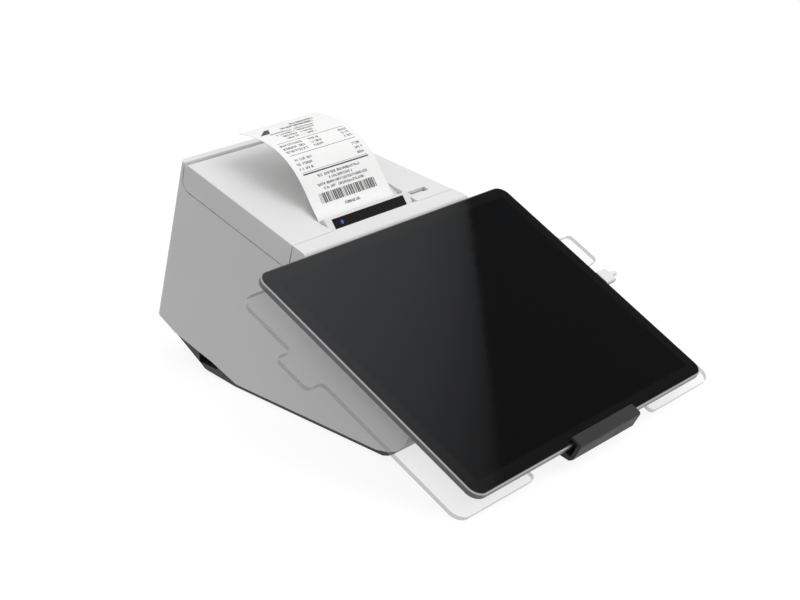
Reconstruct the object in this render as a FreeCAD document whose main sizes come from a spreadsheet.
import FreeCAD, Part
import math
import os

import Sketcher

# Desktop receipt printer with a clear tablet holder on its sloping front.
# Frame: X to the right, Y to the rear, Z up, millimetres. The origin is on the counter,
# under the middle of the base. The lid is a plane tilted about X; most inner pieces are set
# out in the lid's own frame: along = up the slope to the rear, above = out of the lid.
# The tablet and its holder have a second tilted frame, with its origin on the tablet's top edge.

os.makedirs("parts", exist_ok=True)
doc = FreeCAD.newDocument("receipt_printer")
sheet = doc.addObject("Spreadsheet::Sheet", "Sizes")


# ---------------------------------------------------------------- sizes and formulas
class Size:
    """A number together with the spreadsheet formula that it comes from."""

    def __init__(self, value, formula):
        self.value = value
        self.formula = formula

    def combine(self, other, sign, value):
        return Size(value, f"({self.formula} {sign} {other.formula})")

    def __add__(self, other):
        other = as_size(other)
        return self.combine(other, "+", self.value + other.value)

    def __radd__(self, other):
        return as_size(other) + self

    def __sub__(self, other):
        other = as_size(other)
        return self.combine(other, "-", self.value - other.value)

    def __rsub__(self, other):
        return as_size(other) - self

    def __mul__(self, other):
        other = as_size(other)
        return self.combine(other, "*", self.value * other.value)

    def __rmul__(self, other):
        return as_size(other) * self

    def __truediv__(self, other):
        other = as_size(other)
        return self.combine(other, "/", self.value / other.value)

    def __neg__(self):
        return as_size(0) - self


def as_size(number):
    return number if isinstance(number, Size) else Size(float(number), repr(float(number)))


def cos_of(angle):
    return Size(math.cos(math.radians(angle.value)), f"cos({angle.formula})")


def sin_of(angle):
    return Size(math.sin(math.radians(angle.value)), f"sin({angle.formula})")


row = 0


def dimension(alias, value):
    """Write one driving dimension into the sheet and return it as a Size."""
    global row
    row += 1
    sheet.set(f"A{row}", alias)
    sheet.set(f"B{row}", str(value))
    sheet.setAlias(f"B{row}", alias)
    return Size(float(value), f"Sizes.{alias}")


lid_slope = dimension("lid_slope", 15.1)
lid_front_y = dimension("lid_front_y", -3.6)
lid_front_z = dimension("lid_front_z", 121.4)
lid_length = dimension("lid_length", 120.5)
skirt_depth = dimension("skirt_depth", 19.4)
seam_gap = dimension("seam_gap", 0.4)
wall = dimension("wall", 2.5)
case_half_width = dimension("case_half_width", 84.84)
side_taper = dimension("side_taper", 0.1544)
case_depth = dimension("case_depth", 128.1)
rear_strip = dimension("rear_strip", 5.1)
floor_gap = dimension("floor_gap", 3.2)
nose_reach = dimension("nose_reach", 117.5)
strip_depth = dimension("strip_depth", 12.5)
hinge_drop = dimension("hinge_drop", 5.0)
pin_radius = dimension("pin_radius", 1.5)
paper_width = dimension("paper_width", 79.5)
paper_thickness = dimension("paper_thickness", 0.25)
roll_radius = dimension("roll_radius", 38.0)
roll_along = dimension("roll_along", 68.0)
roll_drop = dimension("roll_drop", 50.0)
core_radius = dimension("core_radius", 8.9)
platen_radius = dimension("platen_radius", 5.0)
platen_along = dimension("platen_along", 23.5)
platen_drop = dimension("platen_drop", 13.0)
paper_gap = dimension("paper_gap", 0.6)
display_half_width = dimension("display_half_width", 44.3)
notch_half_width = dimension("notch_half_width", 45.2)
scoop_half_width = dimension("scoop_half_width", 46.7)
scoop_rear = dimension("scoop_rear", 33.0)
scoop_depth = dimension("scoop_depth", 3.5)
tablet_tilt = dimension("tablet_tilt", 29.7)
tablet_top_x = dimension("tablet_top_x", -11.1)
tablet_top_y = dimension("tablet_top_y", -22.4)
tablet_top_z = dimension("tablet_top_z", 120.0)
tablet_width = dimension("tablet_width", 259.1)
tablet_height = dimension("tablet_height", 202.5)
tablet_thickness = dimension("tablet_thickness", 5.4)
glass_thickness = dimension("glass_thickness", 0.8)
holder_half_width = dimension("holder_half_width", 143.5)
holder_thickness = dimension("holder_thickness", 3.0)
holder_depth = dimension("holder_depth", 10.0)
front_depth = dimension("front_depth", 15.5)
hook_width = dimension("hook_width", 69.0)
board_thickness = dimension("board_thickness", 1.6)
doc.recompute()

lid_cos = cos_of(lid_slope)
lid_sin = sin_of(lid_slope)
tablet_cos = cos_of(tablet_tilt)
tablet_sin = sin_of(tablet_tilt)
ALL_ACROSS = 130.0
hinge_along = lid_length - hinge_drop
rear_along = lid_length + seam_gap + rear_strip
exit_along = platen_along - platen_radius - paper_gap
notch_rear = exit_along + 0.5


def lid_point(along, above):
    """World (y, z) of a point given in the lid's frame."""
    return (lid_front_y + along * lid_cos - above * lid_sin,
            lid_front_z + along * lid_sin + above * lid_cos)


def holder_point(up, out):
    """World (y, z) of a point given in the tablet's frame."""
    return (tablet_top_y + up * tablet_cos - out * tablet_sin,
            tablet_top_z + up * tablet_sin + out * tablet_cos)


def front_plane_at_depth(depth, above):
    """Where the plane lying depth behind the tablet's face meets a height in the lid's frame."""
    start = holder_point(0, -depth)
    start_above = lid_cos * (start[1] - lid_front_z) - lid_sin * (start[0] - lid_front_y)
    climb = sin_of(Size(tablet_tilt.value - lid_slope.value,
                        "Sizes.tablet_tilt - Sizes.lid_slope"))
    return holder_point((above - start_above) / climb, -depth)


def front_plane_at_y(depth, y):
    start = holder_point(0, -depth)
    return (as_size(y), start[1] + (y - start[0]) * tablet_sin / tablet_cos)


# ---------------------------------------------------------------- building blocks
def bind(thing, name, size):
    """Set a property from a Size, and bind it to the sheet where the Size names a cell."""
    size = as_size(size)
    if "." not in name:
        setattr(thing, name, size.value)
    if "Sizes." in size.formula:
        thing.setExpression(name, size.formula)


def place(thing, x, y, z, tilt=None, axis=(1, 0, 0)):
    """Put a thing at a point, turned about an axis by a tilt."""
    x, y, z = as_size(x), as_size(y), as_size(z)
    turn = as_size(0 if tilt is None else tilt)
    thing.Placement = FreeCAD.Placement(
        FreeCAD.Vector(x.value, y.value, z.value),
        FreeCAD.Rotation(FreeCAD.Vector(*axis), turn.value))
    bind(thing, "Placement.Base.x", x)
    bind(thing, "Placement.Base.y", y)
    bind(thing, "Placement.Base.z", z)
    bind(thing, "Placement.Rotation.Angle", turn)
    return thing


def in_lid(thing, x=0, along=0, above=0):
    return place(thing, x, *lid_point(as_size(along), as_size(above)), lid_slope)


def in_holder(thing, x=0, up=0, out=0):
    return place(thing, tablet_top_x + x, *holder_point(as_size(up), as_size(out)), tablet_tilt)


def block(name, width, length, height):
    solid = doc.addObject("Part::Box", name)
    bind(solid, "Length", width)
    bind(solid, "Width", length)
    bind(solid, "Height", height)
    return solid


def lid_block(name, x, along, above):
    """A block in the lid's frame, from its (low, high) limits on each axis."""
    solid = block(name, x[1] - as_size(x[0]), along[1] - as_size(along[0]), above[1] - as_size(above[0]))
    return in_lid(solid, x[0], along[0], above[0])


def holder_block(name, x, up, out):
    solid = block(name, x[1] - as_size(x[0]), up[1] - as_size(up[0]), out[1] - as_size(out[0]))
    return in_holder(solid, x[0], up[0], out[0])


def world_block(name, x, y, z):
    solid = block(name, x[1] - as_size(x[0]), y[1] - as_size(y[0]), z[1] - as_size(z[0]))
    return place(solid, x[0], y[0], z[0])


def rod(name, radius, length):
    solid = doc.addObject("Part::Cylinder", name)
    bind(solid, "Radius", radius)
    bind(solid, "Height", length)
    return solid


def cross_rod(name, radius, x, along, above):
    """A round bar across the machine, along X, centred at a point of the lid's frame."""
    solid = rod(name, radius, x[1] - as_size(x[0]))
    y, z = lid_point(as_size(along), as_size(above))
    return place(solid, x[0], y, z, 90, (0, 1, 0))


def cut(name, base, *tools):
    for index, tool in enumerate(tools):
        last = index == len(tools) - 1
        step = doc.addObject("Part::Cut", name if last else f"{name}_step_{index}")
        step.Base = base
        step.Tool = tool
        base = step
    return base


def fuse(name, *pieces):
    joined = doc.addObject("Part::MultiFuse", name)
    joined.Shapes = list(pieces)
    joined.Refine = True
    return joined


def group(name, *pieces):
    together = doc.addObject("Part::Compound", name)
    together.Links = list(pieces)
    return together


def add_outline(sketch, points):
    """A closed polygon whose corners are bound to the sheet."""
    first = sketch.GeometryCount
    corners = [(as_size(a), as_size(b)) for a, b in points]
    vectors = [FreeCAD.Vector(a.value, b.value, 0) for a, b in corners]
    count = len(corners)
    for index in range(count):
        edge = Part.LineSegment(vectors[index], vectors[(index + 1) % count])
        sketch.addGeometry(edge, False)
    for index in range(count):
        sketch.addConstraint(Sketcher.Constraint(
            "Coincident", first + index, 2, first + (index + 1) % count, 1))
    for index, corner in enumerate(corners):
        for kind, size in zip(("DistanceX", "DistanceY"), corner):
            number = sketch.addConstraint(Sketcher.Constraint(
                kind, -1, 1, first + index, 1, size.value))
            if "Sizes." in size.formula:
                sketch.setExpression(f"Constraints[{number}]", size.formula)


def prism(name, plane_role, outlines, length, start=None):
    """A PartDesign body padded from closed outlines on one of its origin planes."""
    body = doc.addObject("PartDesign::Body", name)
    sketch = body.newObject("Sketcher::SketchObject", name + "_outline")
    plane = [item for item in body.Origin.OriginFeatures if item.Role == plane_role][0]
    sketch.AttachmentSupport = [(plane, "")]
    sketch.MapMode = "FlatFace"
    for points in outlines:
        add_outline(sketch, points)
    pad = body.newObject("PartDesign::Pad", name + "_pad")
    pad.Profile = sketch
    bind(pad, "Length", length)
    if start is None:
        pad.SideType = "Symmetric"
    else:
        sketch.AttachmentOffset = FreeCAD.Placement(
            FreeCAD.Vector(0, 0, as_size(start).value), FreeCAD.Rotation())
    return body


def half_width_at(y, inset):
    return case_half_width - inset - side_taper * y


def tapered(name, side_points, inset, front=-140.0, rear=170.0):
    """A side profile carried across the machine and trimmed to its tapered plan."""
    side = prism(name + "_side", "YZ_Plane", [side_points], 2 * ALL_ACROSS)
    plan = prism(name + "_plan", "XY_Plane", [[
        (-half_width_at(front, inset), front), (half_width_at(front, inset), front),
        (half_width_at(rear, inset), rear), (-half_width_at(rear, inset), rear)]], 240.0, -30.0)
    trimmed = doc.addObject("Part::Common", name)
    trimmed.Base = side
    trimmed.Tool = plan
    return trimmed


def rounded(name, base, radius, chosen):
    """Round the edges of base for which chosen(edge) is true."""
    doc.recompute()
    fillet = doc.addObject("Part::Fillet", name)
    fillet.Base = base
    fillet.Edges = [(number + 1, radius, radius)
                    for number, edge in enumerate(base.Shape.Edges) if chosen(edge)]
    doc.recompute()
    return fillet


def bevelled(name, base, width, chosen):
    """Cut a flat bevel along the edges of base for which chosen(edge) is true."""
    doc.recompute()
    bevel = doc.addObject("Part::Chamfer", name)
    bevel.Base = base
    bevel.Edges = [(number + 1, width, width)
                   for number, edge in enumerate(base.Shape.Edges) if chosen(edge)]
    doc.recompute()
    return bevel


def edge_middle(edge):
    middle = edge.valueAt((edge.FirstParameter + edge.LastParameter) / 2)
    return middle


def in_lid_frame(point):
    """(x, along, above) of a world point."""
    dy, dz = point.y - lid_front_y.value, point.z - lid_front_z.value
    return (point.x, dy * lid_cos.value + dz * lid_sin.value, dz * lid_cos.value - dy * lid_sin.value)


def in_holder_frame(point):
    dy, dz = point.y - tablet_top_y.value, point.z - tablet_top_z.value
    return (point.x - tablet_top_x.value, dy * tablet_cos.value + dz * tablet_sin.value,
            dz * tablet_cos.value - dy * tablet_sin.value)


def runs_across(edge):
    """True for a straight edge that lies along X."""
    span = edge.Vertexes[-1].Point - edge.Vertexes[0].Point
    return span.Length > 1 and abs(span.x) > 0.99 * span.Length


def screw(name, radius, length, head_radius, head_height):
    """A screw standing on +Z, head at the bottom, with a cross recess in the head."""
    shank = rod(name + "_shank", radius, length)
    head = rod(name + "_head", head_radius, head_height)
    place(shank, 0, 0, head_height)
    slot_long = place(block(name + "_slot", head_radius * 1.2, 0.8, head_height * 0.5),
                      -head_radius * 0.6, -0.4, 0)
    slot_wide = place(block(name + "_slot_b", 0.8, head_radius * 1.2, head_height * 0.5),
                      -0.4, -head_radius * 0.6, 0)
    return cut(name, fuse(name + "_body", shank, head), slot_long, slot_wide)


def copies(name, source, spots):
    """One solid of a group for each spot, a placement function applied to a linked copy."""
    placed = []
    for index, put in enumerate(spots):
        twin = doc.addObject("Part::Feature", f"{name}_{index}")
        doc.recompute()
        twin.Shape = source.Shape
        put(twin)
        placed.append(twin)
    return group(name, *placed)


nodes = []


def node(thing, label):
    thing.Label = label
    nodes.append(thing)
    return thing


# ---------------------------------------------------------------- case
LID_END_ROUND = 8.0


def case_outline():
    """Side profile of the upper case, from the rear top corner round to the lid's seat."""
    seat = -(skirt_depth + seam_gap)
    return [lid_point(rear_along, 0),
            lid_point(rear_along + 3.9, -case_depth),
            (133.0, 21.8), (88.7, 11.5), (62.0, floor_gap), (-84.0, floor_gap),
            (-96.0, 5.4), (-104.0, 8.6), (-110.5, 14.5), (-nose_reach, 26.0),
            front_plane_at_y(front_depth, -nose_reach),
            front_plane_at_depth(front_depth, seat),
            lid_point(lid_length + seam_gap, seat),
            lid_point(lid_length + seam_gap, 0)]


def cavity_outline():
    """Inner side profile of the case: open above, and open below over the base tray."""
    return [lid_point(rear_along - wall, -8),
            lid_point(rear_along + 3.9 - wall, 2.5 - case_depth),
            (134.0, 25.6), (131.0, 5.0), (72.0, -6.0), (-97.0, -6.0),
            (-101.0, 9.5), (-108.0, 16.2), (wall - nose_reach, 27.0),
            front_plane_at_y(front_depth + wall / tablet_cos, wall - nose_reach),
            front_plane_at_depth(front_depth + wall, -12),
            lid_point(0, -8)]


def main_case():
    outer = tapered("case_outer", case_outline(), as_size(0))
    rear_corners = rounded("case_round", outer, 5.0, lambda edge: (
        abs(edge_middle(edge).x) > 30 and not runs_across(edge)
        and in_lid_frame(edge_middle(edge))[1] > rear_along.value - 0.5
        and edge.Length > 60))
    seat_round = rounded("case_seat_round", rear_corners, LID_END_ROUND + seam_gap.value, lambda edge: (
        runs_across(edge) and abs(in_lid_frame(edge_middle(edge))[1] - lid_length.value) < 1
        and abs(in_lid_frame(edge_middle(edge))[2] + skirt_depth.value) < 1))
    cavity = tapered("case_cavity", cavity_outline(), wall)
    shell = cut("case_shell", seat_round, cavity)
    pieces = [shell]
    for side in (-1, 1):
        low = 52 if side > 0 else -56
        tag = "right" if side > 0 else "left"
        upright = lid_block(f"ear_{tag}", (low, low + 4), (hinge_along - 2.2, hinge_along + 0.5),
                            (-20, -hinge_drop))
        foot = lid_block(f"ear_foot_{tag}", (low, low + 4), (hinge_along - 2.2, rear_along - 1),
                         (-20, -16))
        boss = cross_rod(f"ear_boss_{tag}", 2.3, (low, low + 4), hinge_along, -hinge_drop)
        pieces += [upright, foot, boss]
    for x, y in base_screw_spots():
        reach = half_width_at(y, 1).value
        inner, outer = sorted((x, math.copysign(reach, x)))
        pieces.append(place(rod(f"post_{x}_{y}", 4.0, 13.4), x, y, 4.8))
        pieces.append(world_block(f"web_{x}_{y}", (inner, outer), (y - 1.2, y + 1.2), (12.4, 18.2)))
    joined = fuse("case_joined", *pieces)
    pin_hole = cross_rod("case_pin_hole", pin_radius, (-60, 60), hinge_along, -hinge_drop)
    holes = [pin_hole]
    for x, y in base_screw_spots():
        holes.append(place(rod(f"post_hole_{x}_{y}", 1.5, 10.0), x, y, 4.0))
    for x, up in holder_screw_spots():
        hole = rod(f"case_boss_hole_{x}_{up}", 1.5, 12.0)
        holes.append(in_holder(hole, x, up, -front_depth - 8))
    return node(cut("main_case", joined, *holes), "main_case")


def base_screw_spots():
    return [(-76, -72), (76, -72), (-58, 62), (58, 62)]


def holder_screw_spots():
    return [(-50, -40), (50, -40), (-50, -100), (50, -100)]


TRAY_TOP = 4.2
TRAY_REAR = [(64.0, 0.9), (95.0, 3.4), (99.5, 4.1), (102.4, 6.1), (132.5, 21.65)]
TRAY_BAND = ([(-90.0, 0.9)] + TRAY_REAR
             + [(132.5, 21.25), (88.7, 11.1), (62.0, 2.8), (-84.0, 2.8), (-96.0, 5.0), (-103.5, 8.1),
                (-98.5, 4.0), (-95.0, 2.4)])


def base_tray():
    """Dark tray that closes the case from below and rises to the rear over the cable way."""
    gap = wall + 0.4
    band = tapered("tray_band", TRAY_BAND, as_size(0.5))
    hollow = tapered("tray_hollow", [(66.0, 5.0), (95.0, 5.6), (101.4, 8.05), (134.0, 24.85),
                                     (134.0, 40.0), (66.0, 40.0)], as_size(3.2))
    bowl = cut("tray_bowl", band, hollow)
    pad = tapered("tray_pad", [(-91.8, 1.5), (64.0, 1.5), (94.0, 4.0), (94.0, 5.6), (66.3, 5.6),
                               (66.3, TRAY_TOP), (-91.8, TRAY_TOP)], gap)
    rim_outer = tapered("tray_rim_outer", [(-94.0, 2.0), (60.0, 2.0), (94.5, 5.0), (94.5, 12.0),
                                           (-94.0, 12.0)], gap)
    rim_inner = tapered("tray_rim_inner", [(-91.8, 1.0), (92.3, 1.0), (92.3, 14.0), (-91.8, 14.0)],
                        gap + 2.2)
    rim = cut("tray_rim", rim_outer, rim_inner)
    tray = fuse("tray_joined", bowl, pad, rim)
    holes = []
    for x, y in base_screw_spots():
        holes.append(place(rod(f"tray_hole_{x}_{y}", 1.7, 8.0), x, y, 0))
        holes.append(place(rod(f"tray_sink_{x}_{y}", 3.4, 2.2), x, y, 0.5))
    cable_way = world_block("cable_way", (-80.0, -60.0), (84.0, 105.0), (7.5, 30.0))
    window = world_block("tray_window", (-51.0, 51.0), (107.0, 127.0), (0.0, 34.0))
    return node(cut("base_tray", tray, cable_way, window, *holes), "base_tray")


def rubber_feet():
    feet = []
    under_tray = tapered("foot_trim", TRAY_BAND[:6] + [(133.0, 40.0), (-110.0, 40.0), (-98.5, 4.0),
                                                       (-95.0, 2.4)], as_size(0))
    for side in (-1, 1):
        for name, y, inset, radius in (("front", -84, 11, 9.0), ("rear", 82, 14, 7.5)):
            x = side * half_width_at(y, inset).value
            foot = place(rod(f"foot_{name}_{side}", radius, 4.0), x, y, 0)
            feet.append(cut(f"foot_cut_{name}_{side}", foot, under_tray))
    return node(group("rubber_feet", *feet), "rubber_feet")


def base_screws():
    source = screw("base_screw", 1.45, 9.0, 3.0, 1.6)
    spots = [lambda twin, x=x, y=y: place(twin, x, y, 1.0) for x, y in base_screw_spots()]
    return node(copies("base_screws", source, spots), "base_screws")


def front_cover():
    """Wedge above the nose, from its raised front strip back to the seam with the lid."""
    back = -0.35
    seat = -skirt_depth
    outer_points = [lid_point(-strip_depth, 0), lid_point(back, 0), lid_point(back, seat),
                    front_plane_at_depth(front_depth, seat)]
    crown = holder_point(-4.0, -front_depth)
    outer_points.append(crown)
    outer = tapered("cover_outer", outer_points, as_size(0))
    softened = rounded("cover_round", outer, 3.0, lambda edge: (
        runs_across(edge) and abs(in_lid_frame(edge_middle(edge))[1] + strip_depth.value) < 0.5
        and abs(in_lid_frame(edge_middle(edge))[2]) < 0.5))
    inner_points = [lid_point(2.2 - strip_depth, -2.4), lid_point(back - 2.0, -2.4),
                    lid_point(back - 2.0, seat - 4),
                    front_plane_at_depth(front_depth + wall, seat - 4),
                    holder_point(-6.0, -front_depth - wall)]
    inner = tapered("cover_inner", inner_points, wall)
    window = lid_block("cover_rear_window", (-49, 70), (back - 4, back + 2), (-24, -3.0))
    return node(cut("front_cover", softened, inner, window), "front_cover")


# ---------------------------------------------------------------- lid
def lid_shell():
    outer = tapered("lid_outer", [
        lid_point(0, 0), lid_point(lid_length, 0), lid_point(lid_length, -skirt_depth),
        lid_point(1.0, -skirt_depth)], as_size(0))
    rear_top = rounded("lid_round_top", outer, hinge_drop.value, lambda edge: (
        runs_across(edge) and in_lid_frame(edge_middle(edge))[1] > 120
        and abs(in_lid_frame(edge_middle(edge))[2]) < 0.5))
    rear_low = rounded("lid_round_low", rear_top, LID_END_ROUND, lambda edge: (
        runs_across(edge) and in_lid_frame(edge_middle(edge))[1] > 118
        and in_lid_frame(edge_middle(edge))[2] < -15))
    edges = rounded("lid_round_sides", rear_low, 0.8, lambda edge: (
        not runs_across(edge) and abs(in_lid_frame(edge_middle(edge))[2]) < 0.5
        and edge.Length > 60))
    hollow = tapered("lid_hollow", [
        lid_point(2.5, -2.5), lid_point(lid_length - 2.5, -2.5),
        lid_point(lid_length - 2.5, -30), lid_point(2.5, -30)], wall)
    shell = cut("lid_hollowed", edges, hollow)
    well = scoop_half_width + 2
    floor_top = -scoop_depth - 2.2
    scoop_floor = prism("scoop_floor", "YZ_Plane", [[
        lid_point(notch_rear, -1.0), lid_point(scoop_rear + 2, -1.0), lid_point(scoop_rear + 2, -3.4),
        lid_point(scoop_rear - 3, floor_top), lid_point(notch_rear, floor_top)]], 2 * well)
    pieces = [shell, scoop_floor]
    for low in (-62, -51, 46, 57):
        ear = lid_block(f"lid_ear_{low}", (low, low + 5),
                        (hinge_along - 4, hinge_along + 2.3), (-hinge_drop - 2.3, -2.4))
        pieces.append(ear)
    joined = fuse("lid_joined", *pieces)
    scoop = prism("scoop", "YZ_Plane", [[
        lid_point(notch_rear - 3, 3), lid_point(scoop_rear, 3), lid_point(scoop_rear, 0),
        lid_point(notch_rear, -scoop_depth), lid_point(notch_rear - 3, -scoop_depth)]],
        2 * scoop_half_width)
    notch = lid_block("display_notch", (-notch_half_width, notch_half_width), (-2, notch_rear),
                      (-24, 3))
    lever_slot = lid_block("lever_slot", (48.5, 67.5), (8.2, 12.8), (-6, 3))
    pin_hole = cross_rod("lid_pin_hole", pin_radius + 0.1, (-64, 64), hinge_along, -hinge_drop)
    ear_room = [lid_block(f"ear_room_{low}", (low, low + 5.2),
                          (lid_length - 3.4, lid_length + 1), (-24, -3.6)) for low in (-56.6, 51.4)]
    return node(cut("lid_shell", joined, scoop, notch, lever_slot, pin_hole, *ear_room), "lid_shell")


def lid_frame():
    """Steel frame under the lid: two cheeks with the platen's bearings and a cross beam."""
    back = platen_along + 10
    beam = lid_block("frame_beam", (-46, 46), (back - 1.5, back), (-14, -5.9))
    shelf = lid_block("frame_shelf", (-46, 46), (back - 4.5, back), (-7.1, -5.9))
    pieces = [beam, shelf]
    bores = []
    for low in (-46.0, 43.6):
        x = (low, low + 2.4)
        pieces.append(lid_block(f"cheek_{low}", x, (platen_along - 3.9, back), (-19.0, -5.9)))
        bores.append(cross_rod(f"cheek_bore_{low}", 2.05, x, platen_along, -platen_drop))
    joined = fuse("frame_joined", *pieces)
    return node(cut("lid_frame", joined, *bores), "lid_frame")


def hinge_pin():
    return node(cross_rod("hinge_pin", pin_radius, (-63, 63), hinge_along, -hinge_drop), "hinge_pin")


# ---------------------------------------------------------------- paper feed
def ring_gear(name, root, tip, teeth, width, bore, x, along, above, phase=0.0):
    """A spur gear with straight-flanked teeth, turning about X."""
    blank = Part.Face(Part.Wire(tooth_outline(root, tip, teeth, phase)))
    solid = blank.extrude(FreeCAD.Vector(0, 0, width))
    if bore:
        solid = solid.cut(Part.makeCylinder(bore, width))
    gear = doc.addObject("Part::Feature", name)
    gear.Shape = solid
    y, z = lid_point(as_size(along), as_size(above))
    return node(place(gear, x, y, z, 90, (0, 1, 0)), name)


def tooth_outline(root, tip, teeth, phase):
    points = []
    pitch = 2 * math.pi / teeth
    for number in range(teeth):
        for share, radius in ((0.0, root), (0.28, root), (0.43, tip), (0.61, tip), (0.76, root)):
            angle = (number + share) * pitch + phase
            points.append(FreeCAD.Vector(radius * math.cos(angle), radius * math.sin(angle), 0))
    points.append(points[0])
    return Part.makePolygon(points)


def paper_roll():
    half = paper_width / 2
    outer = cross_rod("roll_outer", roll_radius, (-half, half), roll_along, -roll_drop)
    inner = cross_rod("roll_inner", core_radius + 0.1, (-half - 1, half + 1), roll_along, -roll_drop)
    node(cut("paper_roll", outer, inner), "paper_roll")
    tube = cross_rod("core_outer", core_radius, (-half, half), roll_along, -roll_drop)
    hole = cross_rod("core_hole", core_radius - 2.4, (-half - 1, half + 1), roll_along, -roll_drop)
    node(cut("roll_core", tube, hole), "roll_core")


def paper_bucket():
    """Open trough that the roll lies in, with closed ends and two ribs down to the tray."""
    outer = cross_rod("bucket_outer", roll_radius + 3.4, (-43.5, 43.5), roll_along, -roll_drop)
    ribs = [world_block(f"bucket_rib_{low}", (low, low + 3.0), (66.5, 91.5), (5.6, 56.0))
            for low in (-36.0, 33.0)]
    whole = fuse("bucket_whole", outer, *ribs)
    trough = cross_rod("bucket_trough", roll_radius + 1.2, (-41.2, 41.2), roll_along, -roll_drop)
    above = lid_block("bucket_above", (-50.0, 50.0), (0.0, 130.0), (-60.0, 0.0))
    return node(cut("paper_bucket", whole, trough, above), "paper_bucket")


def web_tangent():
    """Direction and contact angle of the straight run from the roll to the platen."""
    reach = roll_along.value - platen_along.value
    fall = roll_drop.value - platen_drop.value
    near = platen_radius.value + paper_gap.value
    far = roll_radius.value + 0.25
    tilt = math.atan2(-fall, reach) - math.asin((far - near) / math.hypot(reach, fall))
    return tilt, near, far


def paper_web():
    """Paper from the roll, up past the head and round the platen to below the cutter."""
    tilt, near, far = web_tangent()
    half = paper_thickness.value / 2
    normal = tilt - math.pi / 2
    platen = FreeCAD.Vector(platen_along.value, -platen_drop.value, 0)
    roll = FreeCAD.Vector(roll_along.value, -roll_drop.value, 0)

    def polar(centre, radius, angle):
        return centre + FreeCAD.Vector(radius * math.cos(angle), radius * math.sin(angle), 0)

    edges = []
    for radius_shift in (-half, half):
        start = polar(roll, far + radius_shift + half, normal)
        touch = polar(platen, near + radius_shift, normal)
        middle = polar(platen, near + radius_shift, (normal - math.pi) / 2)
        top = polar(platen, near + radius_shift, -math.pi)
        end = FreeCAD.Vector(top.x, -8.2, 0)
        edges.append((start, touch, middle, top, end))
    inner, outer = edges
    outline = Part.Wire([
        Part.makeLine(inner[0], inner[1]), Part.Arc(inner[1], inner[2], inner[3]).toShape(),
        Part.makeLine(inner[3], inner[4]), Part.makeLine(inner[4], outer[4]),
        Part.makeLine(outer[4], outer[3]), Part.Arc(outer[3], outer[2], outer[1]).toShape(),
        Part.makeLine(outer[1], outer[0]), Part.makeLine(outer[0], inner[0])])
    ribbon = Part.Face(outline).extrude(FreeCAD.Vector(0, 0, paper_width.value))
    web = doc.addObject("Part::Feature", "paper_web")
    web.Shape = turn_to_lid(ribbon, -paper_width.value / 2)
    return node(web, "paper_web")


def turn_to_lid(shape, x_start):
    """Carry a shape drawn in (along, above, across) into the world."""
    y, z = lid_point(as_size(0), as_size(0))
    spin = FreeCAD.Matrix(0, 0, 1, x_start,
                          lid_cos.value, -lid_sin.value, 0, y.value,
                          lid_sin.value, lid_cos.value, 0, z.value,
                          0, 0, 0, 1)
    return shape.transformed(spin, True)


def receipt():
    """Printed receipt: up through the exit, then curling back over the lid."""
    leave = exit_along.value
    half = paper_thickness.value / 2
    route = [(leave, -6.2), (leave + 0.3, -3.0), (leave + 3.7, 0.6), (leave + 9.2, 5.4),
             (leave + 16.6, 12.4), (leave + 24.4, 18.8), (leave + 39.0, 26.6), (leave + 51.8, 29.6),
             (leave + 67.0, 29.2), (leave + 83.6, 24.9)]
    inner, outer = [], []
    for index, (along, above) in enumerate(route):
        before = route[max(index - 1, 0)]
        after = route[min(index + 1, len(route) - 1)]
        run = math.hypot(after[0] - before[0], after[1] - before[1])
        side = ((after[1] - before[1]) / run * half, -(after[0] - before[0]) / run * half)
        inner.append(FreeCAD.Vector(along + side[0], above + side[1], 0))
        outer.append(FreeCAD.Vector(along - side[0], above - side[1], 0))
    curves = []
    for points in (inner, outer):
        spline = Part.BSplineCurve()
        spline.interpolate(points)
        curves.append(spline.toShape())
    outline = Part.Wire([curves[0], Part.makeLine(inner[-1], outer[-1]), curves[1],
                         Part.makeLine(outer[0], inner[0])])
    ribbon = Part.Face(outline).extrude(FreeCAD.Vector(0, 0, paper_width.value))
    sheet_piece = doc.addObject("Part::Feature", "receipt")
    sheet_piece.Shape = turn_to_lid(ribbon, -paper_width.value / 2)
    return node(sheet_piece, "receipt")


def platen():
    half = 41.0
    roller = cross_rod("platen_outer", platen_radius, (-half, half), platen_along, -platen_drop)
    bore = cross_rod("platen_bore", 2.0, (-half - 1, half + 1), platen_along, -platen_drop)
    node(cut("platen_roller", roller, bore), "platen_roller")
    shaft = cross_rod("shaft_bar", 2.0, (-50.5, 53.0), platen_along, -platen_drop)
    node(shaft, "platen_shaft")


GEAR_MODULE = 0.8
PLATEN_TEETH, IDLER_TEETH, PINION_TEETH = 14, 24, 12
TOOTH_CENTRE = 0.52


def gear_train():
    """Platen gear on the shaft, idler and motor pinion on the case side."""
    x = -50.4
    width = 3.0
    platen_place = (platen_along.value, -platen_drop.value)
    train = [("platen_gear", PLATEN_TEETH, platen_place, 2.0),
             ("idler_gear", IDLER_TEETH, idler_place(), 1.6),
             ("motor_pinion", PINION_TEETH, motor_place(), 1.0)]
    phase = 0.0
    for number, (name, teeth, centre, bore) in enumerate(train):
        if number:
            before = train[number - 1]
            phase = mesh_phase(before[1], phase, teeth, before[2], centre)
        pitch = GEAR_MODULE * teeth / 2
        ring_gear(name, pitch - 1.1 * GEAR_MODULE, pitch + 0.75 * GEAR_MODULE, teeth, width, bore,
                  x, *centre, phase)
    node(cross_rod("idler_pin", 1.5, (-53.0, -45.0), *idler_place()), "idler_pin")


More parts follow.
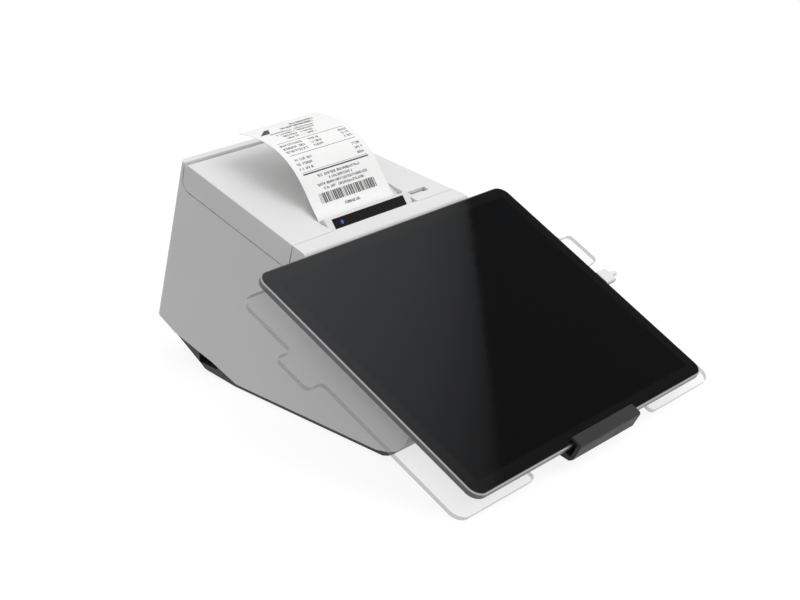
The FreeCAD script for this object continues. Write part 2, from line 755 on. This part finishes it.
def mesh_phase(teeth, phase, next_teeth, centre, next_centre):
    """Turn of the next gear that puts its gap where the gear before it has a tooth."""
    heading = math.atan2(next_centre[1] - centre[1], next_centre[0] - centre[0])
    heading += math.radians(lid_slope.value) + math.pi / 2
    pitch = 2 * math.pi / teeth
    next_pitch = 2 * math.pi / next_teeth
    ahead = (heading - phase) / pitch - TOOTH_CENTRE
    return heading + math.pi - (TOOTH_CENTRE + 0.5 - ahead) * next_pitch


def idler_place():
    distance = GEAR_MODULE * (PLATEN_TEETH + IDLER_TEETH) / 2 + 0.25
    angle = math.radians(-100)
    return (platen_along.value + distance * math.cos(angle),
            -platen_drop.value + distance * math.sin(angle))


def motor_place():
    distance = GEAR_MODULE * (IDLER_TEETH + PINION_TEETH) / 2 + 0.25
    angle = math.radians(-150)
    start = idler_place()
    return start[0] + distance * math.cos(angle), start[1] + distance * math.sin(angle)


def mechanism_frame():
    """Steel bracket that carries the head, the idler and the feed motor, on two legs."""
    front, back = -9.0, exit_along - 1.0
    low, high = -62.0, -20.5
    pieces = [lid_block("mech_floor", (-57.0, 57.0), (front, back), (low, low + 1.5)),
              lid_block("mech_front", (-47.2, 47.2), (front, front + 1.5), (low, high)),
              lid_block("mech_idler_tab", (-47.2, -45.6), (back - 4, 27.0), (-36.0, -22.0)),
              world_block("mech_leg_left", (-57.0, -54.5), (8.0, 24.0), (TRAY_TOP, 62.5)),
              world_block("mech_leg_right", (54.5, 57.0), (8.0, 24.0), (TRAY_TOP, 62.5))]
    for low_x in (-47.2, 45.6):
        pieces.append(lid_block(f"mech_side_{low_x}", (low_x, low_x + 1.6), (front, back), (low, high)))
    joined = fuse("mech_joined", *pieces)
    idler_along, idler_above = idler_place()
    motor_along, motor_above = motor_place()
    holes = [cross_rod("mech_idler_hole", 1.5, (-49, -44), idler_along, idler_above),
             cross_rod("mech_motor_hole", 3.2, (-49, -44), motor_along, motor_above)]
    return node(cut("head_bracket", joined, *holes), "head_bracket")


def head_and_springs():
    """Thermal head on its aluminium sink, pushed to the platen by two springs."""
    tilt, near, _ = web_tangent()
    lean = tilt + math.pi / 2
    reach = near + paper_thickness.value / 2 + 0.25
    world_lean = math.degrees(lean) + lid_slope.value

    def beside_head(thing, x, back, lift, turn=world_lean):
        """Place a thing so far behind the contact line and so far up along the head."""
        along = platen_along.value - (reach + back) * math.cos(lean) - lift * math.sin(lean)
        above = -platen_drop.value - (reach + back) * math.sin(lean) + lift * math.cos(lean)
        return place(thing, x, *lid_point(as_size(along), as_size(above)), turn)

    node(beside_head(block("head_slab", 84.0, 1.2, 18.0), -42.0, 1.2, -15.0), "print_head")
    sink = beside_head(block("head_sink_block", 84.0, 4.0, 16.5), -42.0, 5.3, -15.0)
    grooves = [beside_head(block(f"sink_groove_{index}", 86.0, 1.6, 2.2), -43.0, 5.4, -13.0 + 4.5 * index)
               for index in range(3)]
    node(cut("heat_sink", sink, *grooves), "heat_sink")
    springs = []
    for x in (-22.0, 22.0):
        path = Part.Wire(Part.makeHelix(2.0, 18.0, 2.6))
        section = Part.Wire(Part.makeCircle(0.4, FreeCAD.Vector(2.6, 0, 0), FreeCAD.Vector(0, 1, 0)))
        spring = doc.addObject("Part::Feature", f"head_spring_{x}")
        spring.Shape = path.makePipeShell([section], True, True)
        springs.append(beside_head(spring, x, 5.8, -6.0, world_lean + 90.0))
    node(group("head_springs", *springs), "head_springs")


def motors():
    motor_along, motor_above = motor_place()
    can = cross_rod("feed_can", 8.0, (-44.8, -28.0), motor_along, motor_above)
    bore = cross_rod("feed_can_bore", 1.05, (-46, -27), motor_along, motor_above)
    node(cut("feed_motor", can, bore), "feed_motor")
    node(cross_rod("motor_shaft", 1.0, (-50.4, -28.0), motor_along, motor_above), "motor_shaft")


# ---------------------------------------------------------------- cutter
def cutter():
    """Sliding blade below the display that shears the paper against the lid's fixed blade."""
    back = exit_along - 2.0
    base = lid_block("cutter_base", (-44.0, 44.0), (-9.0, back), (-12.0, -8.0))
    rails = [lid_block(f"cutter_rail_{low}", (low, low + 1.8), (-9.0, back), (-8.0, -5.6))
             for low in (-44.0, 42.2)]
    node(fuse("cutter_frame", base, *rails), "cutter_frame")
    node(lid_block("moving_blade", (-41.9, 41.9), (-6.0, back - 0.7), (-7.7, -6.9)), "moving_blade")
    node(lid_block("fixed_blade", (-42.0, 42.0), (notch_rear + 0.1, notch_rear + 6), (-6.5, -5.71)),
         "fixed_blade")
    node(lid_block("cutter_motor", (27.0, 41.0), (-6.9, 6.5), (-27.0, -12.1)), "cutter_motor")


# ---------------------------------------------------------------- display and lever
DISPLAY_LEAN = 41.0
DISPLAY_FOOT = (3.4, -2.4)
DISPLAY_FACE = 7.2


def on_display(thing, x, up, out):
    """Place a thing in the frame of the leaning display face."""
    lean = math.radians(DISPLAY_LEAN)
    along = DISPLAY_FOOT[0] + up * math.cos(lean) - out * math.sin(lean)
    above = DISPLAY_FOOT[1] + up * math.sin(lean) + out * math.cos(lean)
    return place(thing, x, *lid_point(as_size(along), as_size(above)), lid_slope + DISPLAY_LEAN)


def display():
    """Raised surround whose face leans to the user, its black window and the status light."""
    ridge_along, ridge_above = 10.0, 3.2
    outline = [lid_point(-0.35, -5.2), lid_point(-0.35, 0.0), lid_point(0.5, 0.0),
               lid_point(2.6, -3.1), lid_point(9.2, 2.8), lid_point(ridge_along, ridge_above),
               lid_point(ridge_along + 1.0, ridge_above - 0.4), lid_point(exit_along - 1.2, -3.6),
               lid_point(exit_along - 1.2, -5.2)]
    body = prism("display_block", "YZ_Plane", [outline], 2 * display_half_width)
    softened = rounded("display_round", body, 0.5, lambda edge: (
        runs_across(edge) and in_lid_frame(edge_middle(edge))[2] > 2.5))
    recess = on_display(block("display_recess", 76.0, DISPLAY_FACE + 0.2, 4.0), -38.0, -0.1, -1.1)
    node(cut("display_frame", softened, recess), "display_frame")
    window = on_display(block("window_plate", 75.6, DISPLAY_FACE, 1.0), -37.8, 0.0, -1.0)
    hole = on_display(rod("light_hole", 1.6, 4.0), -29.0, DISPLAY_FACE / 2, -2.0)
    node(cut("display_window", window, hole), "display_window")
    node(on_display(rod("status_light", 1.5, 1.05), -29.0, DISPLAY_FACE / 2, -1.05), "status_light")


def release_lever():
    """Finger lever in the slot beside the display; its hook holds the end of the platen shaft."""
    hub_along, hub_above = 12.0, -22.0
    nose = platen_along - 2.7
    arm = platen_along - 3.6
    parts = [lid_block("lever_tab", (50.5, 66.5), (11.0, 12.4), (hub_above, -2.6)),
             lid_block("lever_lip", (50.5, 66.5), (10.6, 12.4), (-4.0, -2.6)),
             cross_rod("lever_hub", 2.6, (50.5, 66.5), hub_along, hub_above),
             lid_block("lever_foot", (50.5, 52.5), (hub_along, arm), (hub_above - 2, hub_above + 2)),
             lid_block("lever_arm", (50.5, 52.5), (arm - 2, arm), (hub_above - 2, -9.0)),
             lid_block("lever_nose", (50.5, 52.5), (arm - 2, nose), (-10.9, -9.0))]
    bore = cross_rod("lever_bore", 1.55, (49, 68), hub_along, hub_above)
    node(cut("release_lever", fuse("lever_joined", *parts), bore), "release_lever")
    node(cross_rod("lever_rod", 1.5, (47.2, 68.5), hub_along, hub_above), "lever_rod")


# ---------------------------------------------------------------- electronics
def electronics():
    board = world_block("board_plate", (-52.0, 52.0), (-60.0, 66.0), (12.5, 12.5 + board_thickness))
    node(board, "main_board")
    chips = [world_block(f"chip_{index}", (x, x + a), (y, y + b), (14.1, 14.1 + c))
             for index, (x, y, a, b, c) in enumerate((
                 (-18, -30, 16, 16, 1.6), (10, -36, 10, 14, 1.4), (-40, -10, 9, 9, 1.5),
                 (22, 2, 12, 8, 3.0), (-36, -48, 20, 8, 6.0)))]
    node(group("board_chips", *chips), "board_chips")
    posts = []
    for x in (-46.0, 46.0):
        for y in (-54.0, 60.0):
            posts.append(place(rod(f"standoff_{x}_{y}", 3.0, 8.3), x, y, TRAY_TOP))
    node(group("board_posts", *posts), "board_posts")


PANEL_TILT = 27.3
ROCKER_LEAN = 5.0
PANEL_FOOT = (101.26, 8.35)
SOCKETS = {
    "dc_socket": (-44.0, 14.0), "usb_sockets": (-24.0, 14.0), "network_socket": (-2.0, 16.0),
    "drawer_socket": (18.0, 14.0), "power_switch": (36.0, 12.0)}


def connector_panel():
    """Plate above the window in the tray's slope, with the sockets and the power switch."""
    plate = on_panel(block("panel_plate", 104.0, 34.0, 2.0), -52.0, 0, 0)
    tools = [on_panel(block(f"panel_hole_{name}", width, 13.0, 6.0), x, 10.0, -2.0)
             for name, (x, width) in SOCKETS.items()]
    node(cut("connector_panel", plate, *tools), "connector_panel")
    for name, (x, width) in SOCKETS.items():
        if name != "power_switch":
            socket_shell(name, x, width)
    rocker = prism("switch_rocker", "YZ_Plane", [[
        (-5.9, 1.8), (-5.9, -2.6), (0.0, -1.6), (5.9, -2.6), (5.9, 1.8)]], 11.4)
    node(on_panel(rocker, 42.0, 16.5, 1.0, PANEL_TILT - ROCKER_LEAN), "power_switch")


def socket_shell(name, x, width):
    """A socket's housing, open downwards, with two mouths where sockets are paired."""
    body = on_panel(block(f"{name}_shell", width - 0.4, 12.6, 11.0), x + 0.2, 10.2, -0.6)
    mouths = [(1.6, 4.6), (7.4, 4.6)] if name == "usb_sockets" else [(2.0, width - 4.4)]
    tools = [on_panel(block(f"{name}_mouth_{index}", size, 8.4, 8.0), x + 0.2 + start, 12.3, -1.0)
             for index, (start, size) in enumerate(mouths)]
    if name == "dc_socket":
        tools = [on_panel(rod("dc_mouth", 4.2, 9.0), x + width / 2, 16.5, -1.0)]
    node(cut(name, body, *tools), name)


def on_panel(thing, x, along, above, tilt=PANEL_TILT):
    turn = math.radians(PANEL_TILT)
    return place(thing, x, PANEL_FOOT[0] + along * math.cos(turn) - above * math.sin(turn),
                 PANEL_FOOT[1] + along * math.sin(turn) + above * math.cos(turn), tilt)


# ---------------------------------------------------------------- tablet and its holder
NOTCH_TOP = -192.0


def clear_holder():
    """Clear sheet with an ear at each side and a foot at each lower corner."""
    half = holder_half_width
    top, foot = -6.5, -205.4
    ear_top, ear_foot, ear = -55.0, -84.0, half + 14
    notch = 67.0
    right = [(notch, foot), (half, foot), (half, ear_foot), (ear, ear_foot), (ear, ear_top),
             (half, ear_top), (half, top)]
    left = [(-x, y) for x, y in reversed(right)]
    outline = right + left + [(-notch, NOTCH_TOP), (notch, NOTCH_TOP)]
    flat = prism("holder_sheet", "XY_Plane", [outline], holder_thickness, 0)
    in_holder(flat, 0, 0, -(holder_depth + holder_thickness))
    thick = holder_thickness.value

    def corner_at(edge, foot_or_top):
        x, up, _ = in_holder_frame(edge_middle(edge))
        outer = abs(abs(x) - half.value) < 1 and (up < foot + 1 or up > top - 1)
        return abs(edge.Length - thick) < 0.01 and outer == foot_or_top

    large = rounded("holder_corners", flat, 9.0, lambda edge: corner_at(edge, True))
    sheet_body = rounded("holder_rounds", large, 4.0, lambda edge: (
        corner_at(edge, False) and edge.Curve.TypeId == "Part::GeomLine"
        and not near_large_corner(edge, half.value, top, foot)))
    holes = []
    for x, up in holder_screw_spots():
        holes.append(in_holder(rod(f"holder_hole_{x}_{up}", 2.1, 8.0), x, up, -16.0))
    return node(cut("clear_holder", sheet_body, *holes), "clear_holder")


def holder_fixings():
    source = screw("holder_screw", 1.45, 9.0, 3.4, 1.8)
    flip = FreeCAD.Rotation(FreeCAD.Vector(1, 0, 0), 180)

    def put(twin, x, up):
        in_holder(twin, x, up, -holder_depth.value + 1.8)
        twin.setExpression("Placement.Rotation.Angle", None)
        twin.Placement = FreeCAD.Placement(twin.Placement.Base, twin.Placement.Rotation.multiply(flip))

    spots = [lambda twin, x=x, up=up: put(twin, x, up) for x, up in holder_screw_spots()]
    node(copies("holder_screws", source, spots), "holder_screws")
    spacers = []
    for x, up in holder_screw_spots():
        ring = in_holder(rod(f"spacer_{x}_{up}", 5.0, 2.4), x, up, -15.45)
        bore = in_holder(rod(f"spacer_bore_{x}_{up}", 2.1, 4.0), x, up, -16.0)
        spacers.append(cut(f"spacer_ring_{x}_{up}", ring, bore))
    node(group("holder_spacers", *spacers), "holder_spacers")
    pads = [in_holder(rod(f"pad_{x}_{up}", 7.0, 4.3), x, up, -9.9)
            for x in (-90.0, 90.0) for up in (-30.0, -170.0)]
    node(group("holder_pads", *pads), "holder_pads")


def near_large_corner(edge, half, top, foot):
    """True for the seams left by the large corner rounds."""
    x, up, _ = in_holder_frame(edge_middle(edge))
    return abs(x) > half - 10 and (up > top - 10 or up < foot + 10)


def tablet_hook():
    """Black hook on the sheet's lower edge; the tablet stands in it behind a low lip."""
    half = hook_width / 2
    middle = 5.0
    lip_up = -tablet_height + 3.8
    web_low = -tablet_height - 5.0
    web_high = -tablet_height - 2.4
    back = -holder_depth - holder_thickness
    edge = NOTCH_TOP - 0.3
    profile = [(web_low, 2.6), (lip_up, 2.6), (lip_up, 0.7), (web_high, 0.7), (web_high, -9.9),
               (edge, -9.9), (edge, back - 0.1), (-172.0, back - 0.1), (-172.0, back - 2.6),
               (edge - 2.2, back - 2.6), (web_low + 2.2, -12.9), (web_low, -10.2)]
    body = prism("hook_profile", "YZ_Plane", [profile], hook_width)
    in_holder(body, middle)
    softened = rounded("hook_round", body, 2.0, lambda edge: (
        edge.Length > 20 and in_holder_frame(edge_middle(edge))[1] < web_low.value + 0.1))
    node(softened, "tablet_hook")
    lining = holder_block("hook_lining", (middle - half + 3, middle + half - 3), (web_high, -tablet_height - 0.4),
                          (-5.3, 0.3))
    node(lining, "hook_lining")


def tablet():
    half = tablet_width / 2
    corner = 9.0
    outline = [(-half, -tablet_height), (half, -tablet_height), (half, 0), (-half, 0)]
    slab = prism("tablet_slab", "XY_Plane", [outline], tablet_thickness - 0.15, 0)
    in_holder(slab, 0, 0, -tablet_thickness)
    corners = rounded("tablet_corners", slab, corner, lambda edge: (
        abs(abs(in_holder_frame(edge_middle(edge))[0]) - half.value) < 0.5
        and edge.Length < 10))
    soft_back = rounded("tablet_back", corners, 1.8, lambda edge: (
        in_holder_frame(edge_middle(edge))[2] < -tablet_thickness.value + 0.2))
    rim = bevelled("tablet_rim", soft_back, 0.75, lambda edge: (
        in_holder_frame(edge_middle(edge))[2] > -0.2))
    glass_plan = [(1.2 - half, 1.2 - tablet_height), (half - 1.2, 1.2 - tablet_height),
                  (half - 1.2, -1.2), (1.2 - half, -1.2)]
    seat = prism("tablet_seat", "XY_Plane", [glass_plan], 3.0, 0)
    in_holder(seat, 0, 0, -glass_thickness)
    seat_round = rounded("tablet_seat_round", seat, 7.8, lambda edge: (
        2.5 < edge.Length < 3.5))
    socket = holder_block("tablet_socket", (half - 8, half + 1), (-107.5, -98.5), (-4.0, -1.3))
    key_slots = [holder_block("volume_slot", (half - 2.0, half + 1), (-52, -26), (-3.9, -1.5)),
                 holder_block("power_slot", (-half + 14, -half + 28), (-1.6, 1), (-3.9, -1.5))]
    node(cut("tablet_body", rim, seat_round, socket, *key_slots), "tablet_body")
    glass = prism("glass_slab", "XY_Plane", [[
        (1.35 - half, 1.35 - tablet_height), (half - 1.35, 1.35 - tablet_height),
        (half - 1.35, -1.35), (1.35 - half, -1.35)]], glass_thickness, 0)
    in_holder(glass, 0, 0, -glass_thickness)
    node(rounded("tablet_glass", glass, 7.6, lambda edge: edge.Length < 2.0), "tablet_glass")
    node(holder_block("volume_keys", (half - 1.7, half + 0.3), (-51.8, -26.2), (-3.7, -1.7)),
         "volume_keys")
    node(holder_block("power_key", (-half + 14.2, -half + 27.8), (-1.3, 0.3), (-3.7, -1.7)), "power_key")
    tongue = holder_block("plug_tongue", (half - 6.5, half + 0.5), (-107.0, -99.0), (-3.8, -1.5))
    shell = holder_block("plug_shell", (half + 0.3, half + 12.0), (-109.0, -97.0), (-5.3, -0.3))
    soft = rounded("plug_soft", shell, 1.5, lambda edge: runs_across(edge))
    node(fuse("charge_plug", tongue, soft), "charge_plug")
    sleeve = doc.addObject("Part::Cone", "plug_sleeve_cone")
    sleeve.Radius1 = 2.6
    sleeve.Radius2 = 1.9
    sleeve.Height = 7.0
    y, z = holder_point(as_size(-103.0), as_size(-2.8))
    node(place(sleeve, tablet_top_x + half + 12.0, y, z, 90, (0, 1, 0)), "plug_sleeve")


main_case()
base_tray()
rubber_feet()
base_screws()
front_cover()
lid_shell()
lid_frame()
hinge_pin()
paper_roll()
paper_bucket()
paper_web()
receipt()
platen()
gear_train()
mechanism_frame()
head_and_springs()
motors()
cutter()
display()
release_lever()
electronics()
connector_panel()
clear_holder()
holder_fixings()
tablet_hook()
tablet()

doc.recompute()
for thing in doc.Objects:
    if {"Invalid", "Error"} & set(thing.State):
        raise RuntimeError(f"{thing.Name} did not recompute")
for piece in nodes:
    shape = piece.Shape
    if shape.isNull() or not shape.isValid():
        raise RuntimeError(f"{piece.Label} has no valid shape")
    shape.exportStep(f"parts/{piece.Label}.step")
    print(f"{piece.Label:18s} solids {len(shape.Solids)}  volume {shape.Volume:10.1f}")
print(len(nodes), "nodes")
